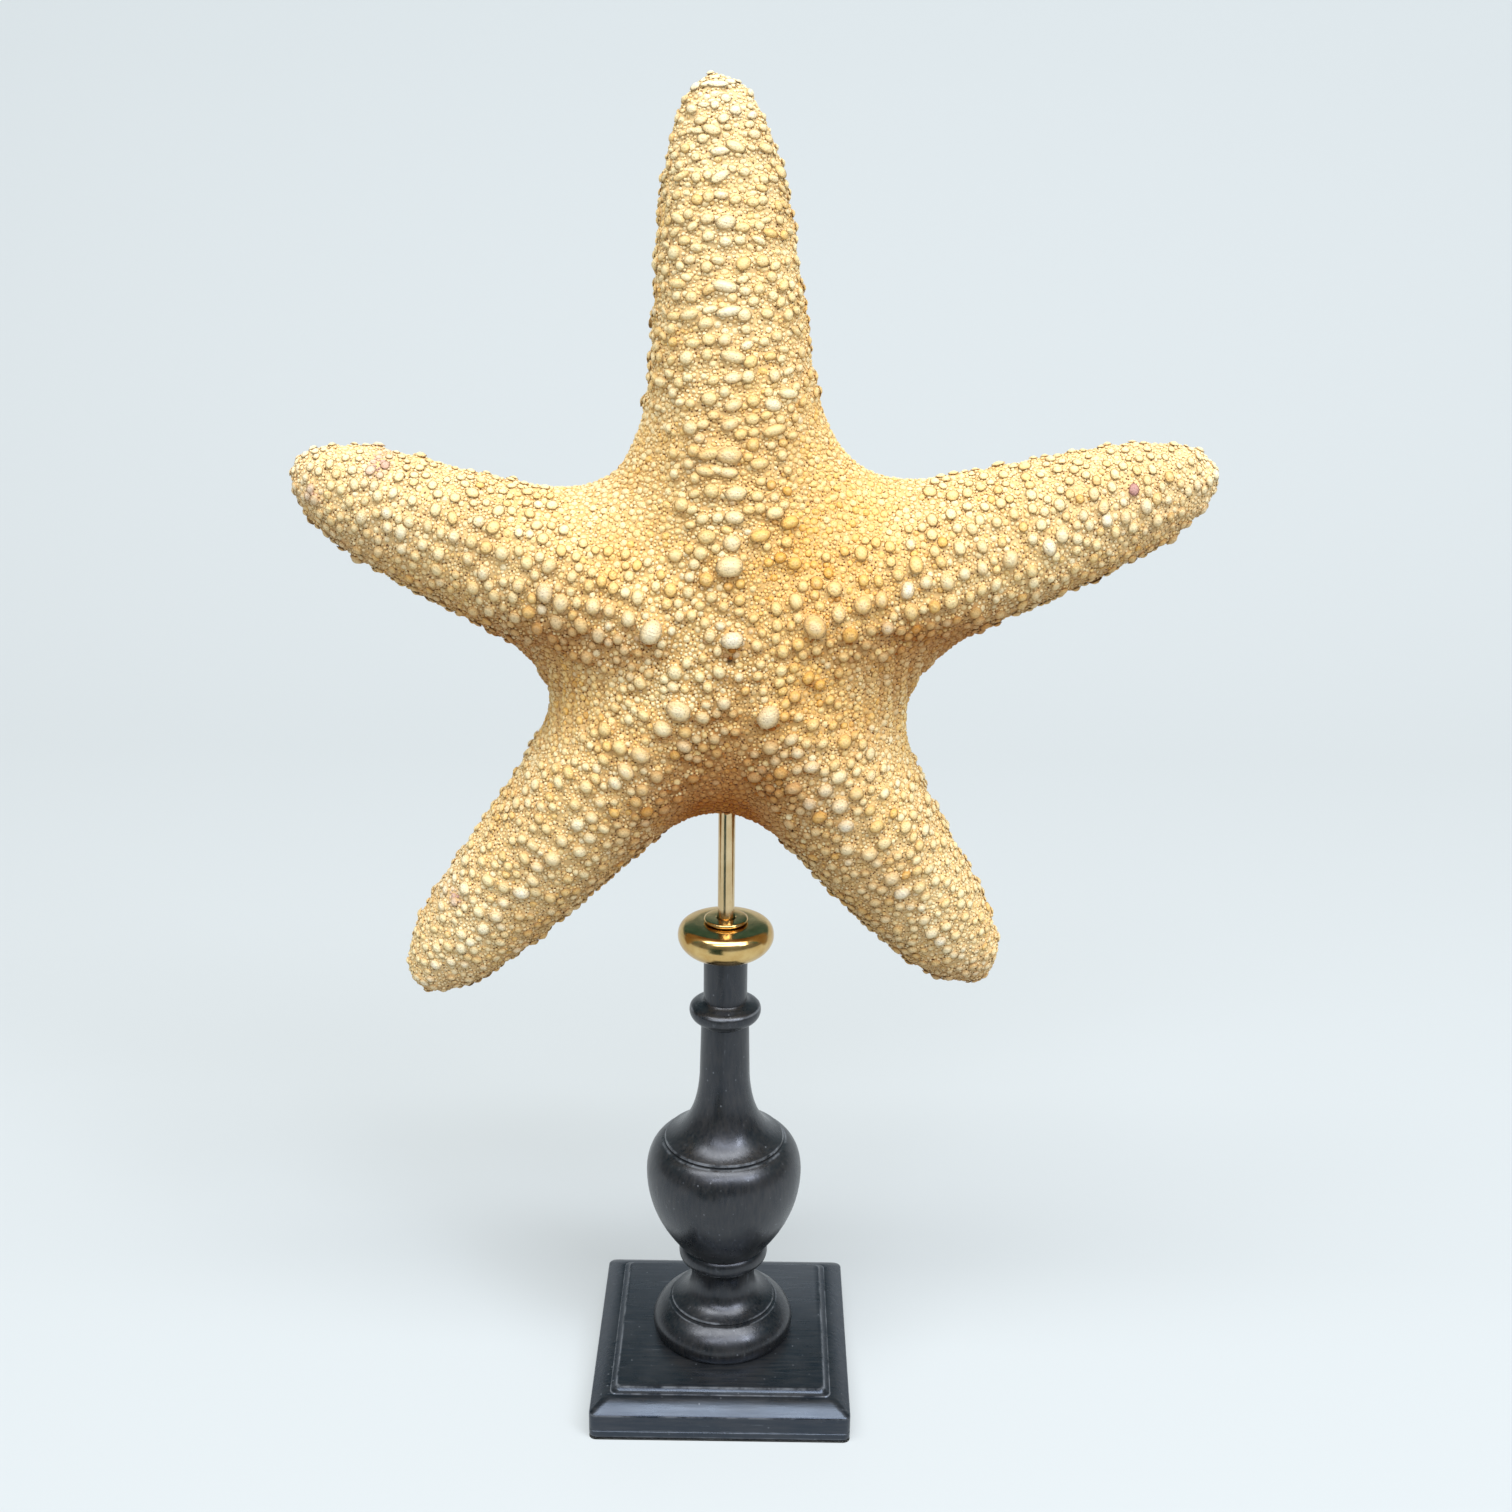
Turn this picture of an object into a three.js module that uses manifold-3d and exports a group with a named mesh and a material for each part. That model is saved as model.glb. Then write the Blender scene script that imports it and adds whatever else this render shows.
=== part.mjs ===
// A dried starfish held on a brass rod above a turned, ebonised wooden stand.
// Millimetres, +Z up. The origin is the centre of the plinth's underside, and the
// starfish's knobbly upper side faces -Y.
import * as THREE from "three";
import { ParametricGeometry } from "three/addons/geometries/ParametricGeometry.js";
import { mergeVertices } from "three/addons/utils/BufferGeometryUtils.js";
import Module from "manifold-3d";

const wasm = await Module();
wasm.setup();

// ---- Driving dimensions -------------------------------------------------------

const FIT_GAP = 0.3; // between any piece and the one it sits on or in

// Plinth: a square block with a raised table and a moulding that falls to a plain band.
const PLINTH_SIDE = 80;
const PLINTH_HEIGHT = 13.5;
const PLINTH_BAND = 9.5; // height of the plain band
const PLINTH_TABLE = 63.6; // side of the flat table on top
const PLINTH_STEP = 2.25; // height of the steep step around the table
const PLINTH_CORNER = 2; // radius of the upright corners
const PLINTH_EASE = 1.2; // bevel round the underside

// Column: one turned baluster with a tenon below and a bore for the rod above.
const TENON_RADIUS = 6.5;
const TENON_LENGTH = 9;
const FOOT_RADIUS = 21.6;
const URN_RADIUS = 24.15;
const COLUMN_TOP = 145;
const COLUMN_TOP_RADIUS = 6.6;

// Brass fittings.
const ROD_RADIUS = 2.5;
const ROD_BOTTOM = 115.3;
const ROD_TOP = 225;
const CAP_HEIGHT = 10.7;
const CAP_RADIUS = 14.4;
const WASHER_RADIUS = 6.6;
const WASHER_HEIGHT = 1.2;

// Starfish: a domed disc with five tapering arms, flatter behind than in front.
// An arm leaves the centre at `angle` (degrees from +X, anticlockwise as seen from the
// front) and is `length` long. `width` is half its width before the taper, `bend` moves
// its middle sideways and `lift` its tip backwards. `notch` is the distance from the
// centre to the crotch that follows the arm.
const STAR_CENTRE = new THREE.Vector3(2, 5, 247);
const ARMS = [
  { angle: 18.6, length: 140.9, width: 26.3, bend: -0.2, lift: 2, notch: 57 },
  { angle: 92.5, length: 146.8, width: 26.8, bend: -1.2, lift: 5, notch: 55 },
  { angle: 160.9, length: 130, width: 25.8, bend: 3.5, lift: -3, notch: 59.7 },
  { angle: 230.1, length: 149, width: 26.3, bend: 1.5, lift: -4, notch: 60 },
  { angle: 304.6, length: 136, width: 26.3, bend: -2.7, lift: 3, notch: 54.8 },
];
const ARM_ROOT = 50; // where an arm's own sides begin
const ARM_TAPER = 0.34; // share of the width lost by the tip
const ARM_FLARE = 6; // extra half width at the root
const FLARE_REACH = 8; // distance over which the flare fades
const FRONT_HEIGHT = 33.5; // height of the ridges over the rim, at the centre
const FRONT_FALL = 0.14; // height that a ridge loses per millimetre
const CENTRE_ROUNDING = 20;
const FRONT_ROUNDNESS = 2.5; // low is a round section, high a square one
const BACK_HEIGHT = 12;
const BACK_FALL = 0.03;
const BACK_ROUNDNESS = 7;
const TIP_BLUNTNESS = 6;
const ARM_STEPS = 10; // points along each side of an arm
const STAR_STACKS = 24; // rings from the middle of the back to that of the front

const ROUND_SEGMENTS = 32;
const CURVE_STEPS = 4; // segments in each curve of a turned profile

// ---- Values that follow -------------------------------------------------------

const ROD_BORE = ROD_RADIUS + FIT_GAP;
const FOOT_Z = PLINTH_HEIGHT + FIT_GAP;
const CAP_Z = COLUMN_TOP + FIT_GAP;
const WASHER_Z = CAP_Z + CAP_HEIGHT + FIT_GAP;

// ---- Materials ----------------------------------------------------------------

const calcite = new THREE.MeshStandardMaterial({
  color: 0xe0bd7c,
  roughness: 0.9,
  metalness: 0,
});
const ebonisedWood = new THREE.MeshStandardMaterial({
  color: 0x262a31,
  roughness: 0.45,
  metalness: 0,
});
const polishedBrass = new THREE.MeshStandardMaterial({
  color: 0xcba35a,
  roughness: 0.2,
  metalness: 1,
});

// ---- Helpers ------------------------------------------------------------------

// A closed geometry as a solid that can be joined and cut.
function solidOf(geometry) {
  geometry.deleteAttribute("normal");
  geometry.deleteAttribute("uv");
  const merged = mergeVertices(geometry, 1e-3);
  return new wasm.Manifold(
    new wasm.Mesh({
      numProp: 3,
      vertProperties: merged.getAttribute("position").array,
      triVerts: new Uint32Array(merged.index.array),
    }),
  );
}

function geometryOf(solid) {
  const { vertProperties, triVerts } = solid.getMesh();
  const geometry = new THREE.BufferGeometry();
  geometry.setAttribute(
    "position",
    new THREE.BufferAttribute(vertProperties, 3),
  );
  geometry.setIndex(new THREE.BufferAttribute(triVerts, 1));
  geometry.computeVertexNormals();
  return geometry;
}

// Turns a profile, drawn as radius and height, about the Z axis.
function turned(profile, segments = ROUND_SEGMENTS) {
  return new THREE.LatheGeometry(
    profile.getPoints(CURVE_STEPS),
    segments,
  ).rotateX(Math.PI / 2);
}

// An upright round bar between two heights.
function bar(radius, bottom, top) {
  return new THREE.CylinderGeometry(radius, radius, top - bottom, 24)
    .rotateX(Math.PI / 2)
    .translate(0, 0, (bottom + top) / 2);
}

function named(name, geometry, material) {
  const mesh = new THREE.Mesh(geometry, material);
  mesh.name = name;
  return mesh;
}

// ---- Plinth -------------------------------------------------------------------

// A four-sided turning gives the moulding its mitred corners, a rounded block trims
// them, and the column's tenon has its hole in the middle.
function plinth() {
  const corner = Math.SQRT2; // from half a side to half a diagonal
  const half = PLINTH_SIDE / 2;
  const table = PLINTH_TABLE / 2;
  const ledge = PLINTH_HEIGHT - PLINTH_STEP;
  const profile = new THREE.Path()
    .moveTo(0, 0)
    .lineTo((half - PLINTH_EASE) * corner, 0)
    .lineTo(half * corner, PLINTH_EASE)
    .lineTo(half * corner, PLINTH_BAND)
    .quadraticCurveTo(
      (half - 3.4) * corner,
      ledge - 0.1,
      (table + 1.05) * corner,
      ledge,
    )
    .lineTo(table * corner, PLINTH_HEIGHT)
    .lineTo(0, PLINTH_HEIGHT);
  const moulding = turned(profile, 4).rotateZ(Math.PI / 4);

  const r = PLINTH_CORNER;
  const outline = new THREE.Shape()
    .moveTo(-half + r, -half)
    .lineTo(half - r, -half)
    .absarc(half - r, -half + r, r, -Math.PI / 2, 0)
    .lineTo(half, half - r)
    .absarc(half - r, half - r, r, 0, Math.PI / 2)
    .lineTo(-half + r, half)
    .absarc(-half + r, half - r, r, Math.PI / 2, Math.PI)
    .lineTo(-half, -half + r)
    .absarc(-half + r, -half + r, r, Math.PI, 1.5 * Math.PI);
  const block = new THREE.ExtrudeGeometry(outline, {
    depth: PLINTH_HEIGHT + 2,
    bevelEnabled: false,
    curveSegments: CURVE_STEPS,
  }).translate(0, 0, -1);

  const mortise = bar(
    TENON_RADIUS + FIT_GAP,
    FOOT_Z - TENON_LENGTH - FIT_GAP,
    PLINTH_HEIGHT + 1,
  );
  return geometryOf(
    solidOf(moulding).intersect(solidOf(block)).subtract(solidOf(mortise)),
  );
}

// ---- Column -------------------------------------------------------------------

function column() {
  const profile = new THREE.Path()
    .moveTo(0, FOOT_Z - TENON_LENGTH)
    .lineTo(TENON_RADIUS, FOOT_Z - TENON_LENGTH)
    .lineTo(TENON_RADIUS, FOOT_Z)
    // foot: a fat torus, then a quirk under the edge of the skirt
    .lineTo(FOOT_RADIUS, FOOT_Z)
    .bezierCurveTo(FOOT_RADIUS + 1.4, 16.2, 22.8, 20.5, 17.2, 23.8)
    .lineTo(15.6, 24.2)
    .lineTo(16.3, 24.9)
    // skirt and spool
    .bezierCurveTo(12.5, 26.2, 10, 28.5, 10, 33)
    .bezierCurveTo(10, 36.5, 10.6, 38.8, 12.6, 39.5)
    // ring under the urn
    .bezierCurveTo(14.6, 40.2, 14.2, 43.6, 13, 44.5)
    // urn and its shoulder
    .bezierCurveTo(17.6, 50, URN_RADIUS, 59, URN_RADIUS, 71.5)
    .bezierCurveTo(URN_RADIUS, 77, 22, 80.8, 19.2, 82.2)
    .lineTo(17.6, 82.4)
    .lineTo(18.4, 83.4)
    // bell-shaped neck
    .bezierCurveTo(12.6, 86, 8.4, 92, 7.7, 105)
    .lineTo(7.3, 121.5)
    .lineTo(8.4, 123.3)
    // bead, dished on top
    .bezierCurveTo(10.4, 124, 11.4, 126.6, 10.6, 128.3)
    .bezierCurveTo(9.6, 129.6, 7.6, 129.2, COLUMN_TOP_RADIUS, 130.4)
    .lineTo(COLUMN_TOP_RADIUS, COLUMN_TOP)
    // bore for the rod
    .lineTo(ROD_BORE, COLUMN_TOP)
    .lineTo(ROD_BORE, ROD_BOTTOM - FIT_GAP)
    .lineTo(0, ROD_BOTTOM - FIT_GAP);
  return turned(profile);
}

// ---- Brass fittings -----------------------------------------------------------

function cap() {
  const z = CAP_Z;
  const profile = new THREE.Path()
    .moveTo(ROD_BORE, z)
    .lineTo(COLUMN_TOP_RADIUS + 0.4, z)
    .bezierCurveTo(11.5, z + 0.3, 14.6, z + 3.7, CAP_RADIUS, z + 6.7)
    .bezierCurveTo(14.3, z + 8.7, 13.4, z + 9.9, 12, z + 10.3)
    .lineTo(9, z + CAP_HEIGHT)
    .lineTo(ROD_BORE, z + CAP_HEIGHT)
    .lineTo(ROD_BORE, z);
  return turned(profile);
}

function washer() {
  const top = WASHER_Z + WASHER_HEIGHT;
  const profile = new THREE.Path()
    .moveTo(ROD_BORE, WASHER_Z)
    .lineTo(WASHER_RADIUS - 0.5, WASHER_Z)
    .quadraticCurveTo(WASHER_RADIUS + 0.4, WASHER_Z + 0.6, 6, top)
    .lineTo(ROD_BORE, top)
    .lineTo(ROD_BORE, WASHER_Z);
  return turned(profile);
}

// ---- Starfish -----------------------------------------------------------------

// Half the width of an arm at a distance from the centre: a taper, a blunt tip and a
// flare where it joins the disc.
function halfWidth(distance, arm) {
  const share = distance / arm.length;
  const taper = arm.width * (1 - ARM_TAPER * share);
  const tip = Math.sqrt(Math.max(0, 1 - share ** TIP_BLUNTNESS));
  const flare = ARM_FLARE * Math.exp((ARM_ROOT - distance) / FLARE_REACH);
  return (taper + flare) * tip;
}

// The rim seen from the front, as points about the centre: up one side of each arm,
// round its tip, down the other side, and through the crotch to the next arm.
function rimOf(arms) {
  const rim = [];
  arms.forEach((arm, index) => {
    const next = arms[(index + 1) % arms.length];
    const angle = THREE.MathUtils.degToRad(arm.angle);
    const along = new THREE.Vector2(Math.cos(angle), Math.sin(angle));
    const aside = new THREE.Vector2(-along.y, along.x);
    const point = (distance, side) => {
      const share = distance / arm.length;
      const bend = 4 * arm.bend * share * (1 - share);
      const width = side * halfWidth(distance, arm);
      return {
        arm,
        at: along
          .clone()
          .multiplyScalar(distance)
          .addScaledVector(aside, bend + width),
      };
    };
    // closer together towards the tip
    const distances = Array.from({ length: ARM_STEPS }, (_, step) => {
      const share = Math.sin((step / ARM_STEPS) * (Math.PI / 2)) ** 1.3;
      return ARM_ROOT + (arm.length - ARM_ROOT) * share;
    });
    const turn = (next.angle - arm.angle + 360) % 360;
    const between = THREE.MathUtils.degToRad(arm.angle + turn / 2);
    rim.push(
      ...distances.map((distance) => point(distance, -1)),
      point(arm.length, 0),
      ...distances.reverse().map((distance) => point(distance, 1)),
      {
        arm,
        at: new THREE.Vector2(
          arm.notch * Math.cos(between),
          arm.notch * Math.sin(between),
        ),
      },
    );
  });
  return rim;
}

// Every ring is the rim drawn smaller, raised in front or behind by the ridges' height.
// The height falls away from the ridges towards the rim.
function starfish() {
  const rim = rimOf(ARMS);
  const surface = (u, v, target) => {
    const { arm, at } = rim[Math.round(u * rim.length) % rim.length];
    const inFront = v > 0.5;
    const share = v === 0.5 ? 1 : Math.sin(Math.PI * v);
    const reach = share * at.length();
    const along = Math.min(reach / arm.length, share);
    const roundness = inFront ? FRONT_ROUNDNESS : BACK_ROUNDNESS;
    const ridge = inFront
      ? FRONT_HEIGHT - FRONT_FALL * Math.hypot(reach, CENTRE_ROUNDING)
      : BACK_HEIGHT - BACK_FALL * reach;
    const tip = Math.sqrt(1 - along ** TIP_BLUNTNESS);
    const fall =
      share === 1
        ? 0
        : Math.sqrt((1 - share ** roundness) / (1 - along ** roundness));
    const height = ridge * tip * fall;
    const lift = arm.lift * along ** 4;
    target.set(
      share * at.x,
      (inFront ? -height : height) + lift,
      share * at.y,
    );
  };
  const body = new ParametricGeometry(surface, rim.length, STAR_STACKS);
  body.translate(STAR_CENTRE.x, STAR_CENTRE.y, STAR_CENTRE.z);
  const rodHole = bar(ROD_BORE, STAR_CENTRE.z - 80, ROD_TOP + FIT_GAP);
  const solid = solidOf(body);
  return geometryOf(solid.subtract(solidOf(rodHole)));
}

// ---- Assembly -----------------------------------------------------------------

const mountedStarfish = new THREE.Group();
mountedStarfish.add(
  named("plinth", plinth(), ebonisedWood),
  named("column", column(), ebonisedWood),
  named("cap", cap(), polishedBrass),
  named("washer", washer(), polishedBrass),
  named("rod", bar(ROD_RADIUS, ROD_BOTTOM, ROD_TOP), polishedBrass),
  named("starfish", starfish(), calcite),
);

export default mountedStarfish;
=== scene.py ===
"""A dried starfish on a brass rod, above a turned and ebonised wooden stand.

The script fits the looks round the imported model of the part. It is laid out as an
add-on, with one operator for each group of pieces, and main() calls them in order.
"""

import math
import random
from functools import partial

import bmesh
import bpy
import numpy as np
from bpy.props import FloatProperty, FloatVectorProperty, IntProperty, PointerProperty
from mathutils import Matrix, Quaternion, Vector, geometry, kdtree, noise
from mathutils.bvhtree import BVHTree


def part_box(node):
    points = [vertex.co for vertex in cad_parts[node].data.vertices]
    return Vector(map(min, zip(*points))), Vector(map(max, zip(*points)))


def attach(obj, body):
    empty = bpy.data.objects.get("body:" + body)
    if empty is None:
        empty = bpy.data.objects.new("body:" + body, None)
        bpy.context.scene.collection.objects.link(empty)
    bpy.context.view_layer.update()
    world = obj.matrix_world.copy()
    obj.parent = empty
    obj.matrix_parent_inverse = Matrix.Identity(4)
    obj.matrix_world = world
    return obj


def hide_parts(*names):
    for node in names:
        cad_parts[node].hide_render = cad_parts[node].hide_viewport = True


bl_info = {
    "name": "Mounted starfish",
    "version": (1, 0, 0),
    "blender": (4, 5, 0),
    "location": "3D View > Sidebar > Starfish",
    "description": "Builds a dried starfish on a turned stand",
    "category": "Object",
}

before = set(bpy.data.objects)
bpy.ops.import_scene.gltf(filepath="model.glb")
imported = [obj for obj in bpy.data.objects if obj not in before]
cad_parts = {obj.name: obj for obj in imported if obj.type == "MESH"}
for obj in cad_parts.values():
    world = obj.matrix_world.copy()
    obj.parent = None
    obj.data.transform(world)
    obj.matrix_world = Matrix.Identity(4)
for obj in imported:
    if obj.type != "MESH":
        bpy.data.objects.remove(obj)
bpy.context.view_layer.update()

MM = 0.001
BLACK, WHITE = (0, 0, 0, 1), (1, 1, 1, 1)

# What a node takes to mix two colours, or to darken the first by the second
MIXED = {"data_type": "RGBA"}
DARKENED = {"data_type": "RGBA", "blend_type": "MULTIPLY"}

# The starfish's own frame: its centre, and its arms as (angle, length, bend, lift).
# They are the part's own driving sizes, in degrees and millimetres.
CENTRE = Vector((2, 5, 247))
ARMS = (
    (18.6, 140.9, -0.2, 2),
    (92.5, 146.8, -1.2, 5),
    (160.9, 130, 3.5, -3),
    (230.1, 149, 1.5, -4),
    (304.6, 136, -2.7, 3),
)


# ---- Small helpers ------------------------------------------------------------


def linear(code):
    """An sRGB hex colour, such as "e8d2a0", as linear RGBA."""
    parts = [int(code[i : i + 2], 16) / 255 for i in (0, 2, 4)]
    return (*(c / 12.92 if c <= 0.04045 else ((c + 0.055) / 1.055) ** 2.4 for c in parts), 1.0)


def add(tree, kind, sockets=(), stops=(), **options):
    """Adds a node with its settings and links.

    A socket, by name or in order, takes a value, an output, or a node whose first
    output it is. The stops are a colour ramp's, as (position, colour).
    """
    node = tree.nodes.new(kind)
    for name, value in options.items():
        setattr(node, name, value)
    pairs = sockets.items() if isinstance(sockets, dict) else enumerate(sockets)
    for key, value in pairs:
        if isinstance(value, bpy.types.Node):
            value = next(output for output in value.outputs if output.enabled)
        if isinstance(value, bpy.types.NodeSocket):
            tree.links.new(value, node.inputs[key])
        else:
            node.inputs[key].default_value = value
    if stops:
        elements = node.color_ramp.elements
        while len(elements) < len(stops):
            elements.new(0.5)
        for element, (position, colour) in zip(elements, stops):
            element.position = position
            element.color = colour
    return node


def new_material(name):
    """An empty material, and the function that adds a node to it."""
    material = bpy.data.materials.new(name)
    material.use_nodes = True
    material.node_tree.nodes.clear()
    return material, partial(add, material.node_tree)


def new_object(name, mesh, material=None):
    """A named object at the origin, with its mesh in the part's own frame."""
    piece = bpy.data.objects.new(name, mesh)
    bpy.context.scene.collection.objects.link(piece)
    if material:
        mesh.materials.clear()
        mesh.materials.append(material)
    return piece


def object_from(bm, name, material, smooth=True):
    """Turns a finished bmesh into an object."""
    mesh = bpy.data.meshes.new(name)
    bm.to_mesh(mesh)
    bm.free()
    for polygon in mesh.polygons:
        polygon.use_smooth = smooth
    return new_object(name, mesh, material)


def evaluated_copy(piece, name):
    """The piece's mesh with its modifiers applied, as a new mesh."""
    graph = bpy.context.evaluated_depsgraph_get()
    mesh = bpy.data.meshes.new_from_object(piece.evaluated_get(graph), depsgraph=graph)
    mesh.name = name
    return mesh


def read_vectors(items, field):
    """A vector field of mesh items, as an array with a row for each."""
    values = np.empty(len(items) * 3)
    items.foreach_get(field, values)
    return values.reshape(-1, 3)


def move_corners(mesh, places):
    """Moves a mesh's corners to new places."""
    mesh.vertices.foreach_set("co", places.ravel())
    mesh.update()


def held(value, low=0, high=1):
    """A value held between two limits."""
    return min(max(value, low), high)


def settings():
    """The sizes and colours that the user may change."""
    return bpy.context.scene.mounted_starfish


def chosen(name):
    """A colour of the settings, as linear RGBA."""
    return tuple(getattr(settings(), name))


# ---- The starfish's arms ------------------------------------------------------


class Arm:
    """One arm's centre line, in millimetres."""

    def __init__(self, angle, length, bend, lift):
        turn = math.radians(angle)
        self.length = length
        self.bend = bend
        self.lift = lift
        self.along = Vector((math.cos(turn), 0, math.sin(turn)))
        self.aside = Vector((-math.sin(turn), 0, math.cos(turn)))

    def point(self, distance):
        share = min(distance / self.length, 1)
        sideways = 4 * self.bend * share * (1 - share)
        return (
            CENTRE
            + self.along * distance
            + self.aside * sideways
            + Vector((0, self.lift * share**4, 0))
        )

    def place(self, points):
        """How far along the arm and how far aside of its line each point lies."""
        offset = points - np.array(CENTRE)
        distance = offset @ np.array(self.along)
        share = np.clip(distance / self.length, 0, 1)
        aside = offset @ np.array(self.aside) - 4 * self.bend * share * (1 - share)
        return distance, aside


def arms():
    return [Arm(*sizes) for sizes in ARMS]


def nearest_arm(points):
    """For points in millimetres: which arm each lies on, how far along, how far aside."""
    places = [arm.place(points) for arm in arms()]
    along = np.array([place[0] for place in places])
    aside = np.array([place[1] for place in places])
    closeness = np.where(along > 0, np.abs(aside) - 0.2 * along, 1e6)
    index = closeness.argmin(axis=0)
    every = np.arange(len(points))
    return index, along[index, every], aside[index, every]


# ---- Starfish skin ------------------------------------------------------------

# The pit of the vent, just below the middle: its (x, z), radius and depth
VENT = (0.8, 243.4)
VENT_RADIUS = 1.1
VENT_DEPTH = 1.5

# How much of each arm's end is filled out
TIP_REACH = 44

# The slopes below the side arms: how far aside of the centre they start and end, the
# height of their middle, and the spacing of the rows of plates down them
SLOPE_SPAN = (24, 66)
SLOPE_HEIGHT = 228
ROW_SPACING = 4.2


class STARFISH_OT_skin(bpy.types.Operator):
    """Build the skin that the tubercles stand on, with the grooves behind"""

    bl_idname = "starfish.skin"
    bl_label = "Skin"

    def execute(self, context):
        sizes = settings()
        bm = bmesh.new()
        bm.from_mesh(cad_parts["starfish"].data)
        bmesh.ops.remove_doubles(bm, verts=bm.verts, dist=0.01 * MM)
        bmesh.ops.join_triangles(
            bm,
            faces=bm.faces,
            angle_face_threshold=math.radians(25),
            angle_shape_threshold=math.radians(60),
        )
        rough = object_from(bm, "skin_rough", None)
        rounded = rough.modifiers.new("Rounded", "SUBSURF")
        rounded.levels = rounded.render_levels = 2
        even = rough.modifiers.new("Even", "REMESH")
        even.mode = "VOXEL"
        even.voxel_size = sizes.skin_mesh
        even.use_smooth_shade = True
        calm = rough.modifiers.new("Calm", "SMOOTH")
        calm.factor = 0.5
        calm.iterations = 8
        inset = rough.modifiers.new("Inset", "DISPLACE")
        inset.mid_level = 0
        inset.strength = -sizes.skin_inset
        mesh = evaluated_copy(rough, "skin")
        bpy.data.objects.remove(rough)
        shape_arms(mesh)
        carve_grooves(mesh)
        tone_skin(mesh)
        skin = new_object("skin", mesh, dried_skin())
        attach(skin, "root")
        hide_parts("starfish")
        return {"FINISHED"}


def shape_arms(mesh):
    """Fills out the arms' tips, which smoothing thinned, and furrows their slopes."""
    places = read_vectors(mesh.vertices, "co")
    index, along, _ = nearest_arm(places / MM)
    lengths = np.array([arm[1] for arm in ARMS])[index]
    near_tip = np.clip((along - lengths + TIP_REACH) / TIP_REACH, 0, 1)
    normals = read_vectors(mesh.vertex_normals, "vector")
    axes = np.array([arm.along for arm in arms()])[index]
    onward = np.clip((normals * axes).sum(axis=1), 0, 1)
    raised = settings().tip_filling * near_tip * (1.4 - 0.9 * onward)
    raised += settings().furrow_depth / 2 * furrows(places / MM)
    places += normals * raised[:, None]
    move_corners(mesh, places)


def carve_grooves(mesh):
    """Sinks the five food grooves and the mouth where they meet into the flat side."""
    sizes = settings()
    places = read_vectors(mesh.vertices, "co")
    behind = np.clip(read_vectors(mesh.vertex_normals, "vector")[:, 1], 0, 1)
    index, along, aside = nearest_arm(places / MM)
    lengths = np.array([arm[1] for arm in ARMS])[index]
    fade = np.clip((lengths - 4 - along) / 25, 0, 1) ** 0.5
    width = sizes.groove_width / MM * (0.45 + 0.55 * fade) / 2
    groove = sizes.groove_depth * fade * np.exp(-((aside / width) ** 4))
    from_mouth = np.hypot(*(places / MM - np.array(CENTRE))[:, [0, 2]].T)
    mouth = sizes.mouth_depth * np.exp(-((from_mouth / 6.5) ** 4))
    places[:, 1] -= behind * np.maximum(groove, mouth)
    places[:, 1] += VENT_DEPTH * MM * in_vent(places / MM)
    move_corners(mesh, places)


def vent_gap(points):
    """How far each point lies from the pit of the vent, which is on the front."""
    gap = np.hypot(points[:, 0] - VENT[0], points[:, 2] - VENT[1])
    return np.where(points[:, 1] < CENTRE.y, gap, 1e6)


def in_vent(points):
    """How deep each point lies in the pit of the vent, from 0 to 1."""
    return np.exp(-((vent_gap(points) / VENT_RADIUS) ** 2))


def slopes(points):
    """How far each point is on the two slopes below the side arms, from 0 to 1."""
    near, far = SLOPE_SPAN
    across = np.abs(points[:, 0] - CENTRE.x)
    slope = np.clip((across - near) / 12, 0, 1) * np.clip((far - across) / 16, 0, 1)
    slope *= np.clip(1.4 - np.abs(points[:, 2] - SLOPE_HEIGHT) / 14, 0, 1)
    return slope * (points[:, 1] < CENTRE.y)


def furrows(points):
    """A wave from -1 to 1, for the upright rows of plates on the slopes."""
    bend = 0.9 * np.sin(points[:, 2] / 6)
    across = np.abs(points[:, 0] - CENTRE.x)
    return slopes(points) * np.sin(2 * np.pi * across / ROW_SPACING + bend)


def painted_shade_share(points, normals):
    """How much painted shade each point takes: most on the undersides near the centre, some in the
    furrow troughs.
    """
    _, along, _ = nearest_arm(points)
    reach = np.clip(1.25 - along / 75, 0.25, 1)
    under = 2.4 * reach * (-normals[:, 2] - 0.05) * (1 - 0.55 * slopes(points))
    return np.clip(under, 0, 1) - 0.25 * np.minimum(furrows(points), 0)


def tone_skin(mesh):
    """Marks where the skin is bleached, flat, darkened by painted shade, or in the pit of the vent,
    which is painted dark as shade.
    """
    normals = read_vectors(mesh.vertex_normals, "vector")
    places = read_vectors(mesh.vertices, "co") / MM
    _, along, _ = nearest_arm(places)
    for name, values in (
        ("bleached", np.clip((along - 20) / 110, 0, 1)),
        ("behind", np.clip(normals[:, 1] * 2, 0, 1)),
        # painted shade: darker on the undersides near the centre and in the furrow troughs
        ("grime", painted_shade_share(places, normals)),
        # the pit of the vent, which the skin's material paints nearly black as painted shade
        ("pit", in_vent(places)),
    ):
        layer = mesh.attributes.new(name, "FLOAT", "POINT")
        layer.data.foreach_set("value", values)


# ---- Tubercles ----------------------------------------------------------------

# Bleached, worn patches as (x, z, radius), and a few rose-violet stains
WORN_PATCHES = ((-95, 292, 5), (-118, 288, 5), (-81, 168, 7), (-4, 388, 5))
STAINS = ((-95, 292, 2.6), (-112.5, 284, 2), (108.5, 288, 1.8), (-79, 166, 2))

# Where the disc is more golden or more bleached, as (x, z, radius, change)
TONES = (
    (30, 270, 26, 0.42),
    (-8, 243, 17, -0.3),
    (20, 226, 15, 0.25),
    (-34, 262, 16, 0.15),
    (-42, 224, 15, 0.15),
)


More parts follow.
